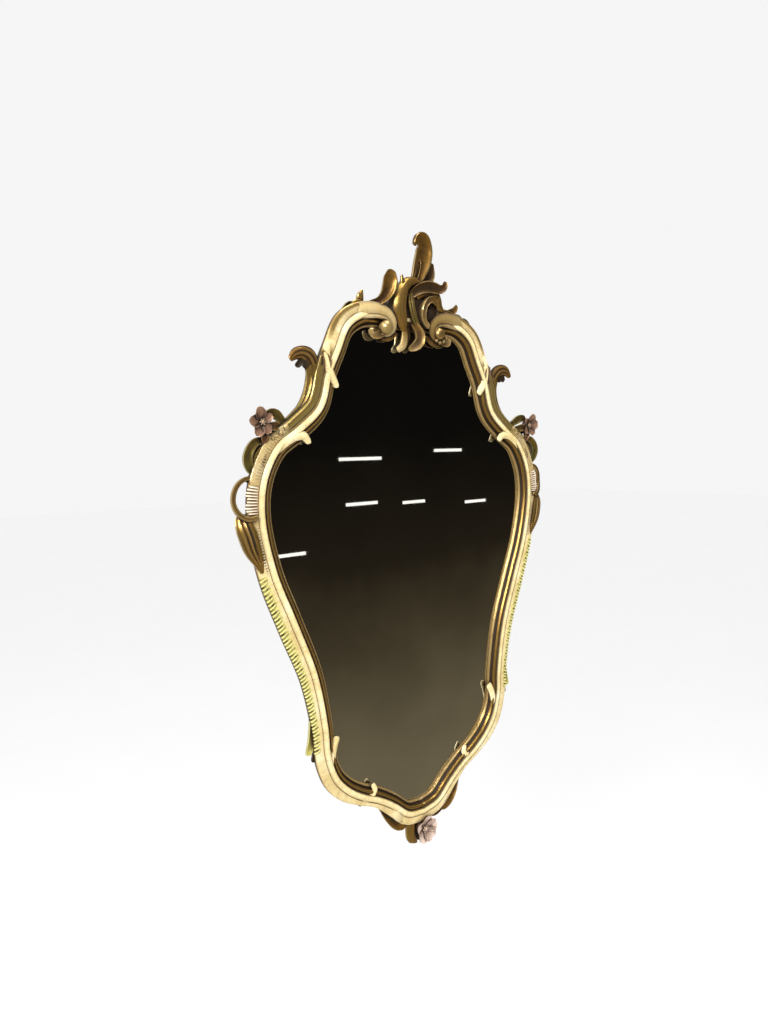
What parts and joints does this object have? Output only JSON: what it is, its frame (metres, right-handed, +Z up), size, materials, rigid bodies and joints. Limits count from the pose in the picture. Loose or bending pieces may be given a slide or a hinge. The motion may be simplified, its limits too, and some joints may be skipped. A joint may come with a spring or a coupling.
{
  "type": "wall mirror",
  "caption": "Tall waisted wall mirror in a carved scrolled moulding, with a leafy crest off the middle line, open side rings and flowers; it hangs by a keyhole plate.",
  "frame": {"origin": "on the back face of the hanging plate, on the middle line, where the plate lies on the wall behind the crest", "axes": "+Z up, +Y back into the wall, so the mirror faces -Y; +X is to the viewer's right"},
  "size_m": [0.62, 0.0463, 0.973],
  "materials": {
    "carved_frame": "crackled cream paint with worn gold leaf",
    "mirror_glass": "silvered and polished",
    "back_board": "plain, unpainted",
    "hanging_plate": "dull zinc",
    "screws": "brushed"
  },
  "bodies": {
    "root": {"carved_frame": "carved_frame", "mirror_glass": "mirror_glass", "back_board": "back_board", "hanging_plate": "hanging_plate", "upper_screw": "screws", "lower_screw": "screws"}
  },
  "joints": []
}
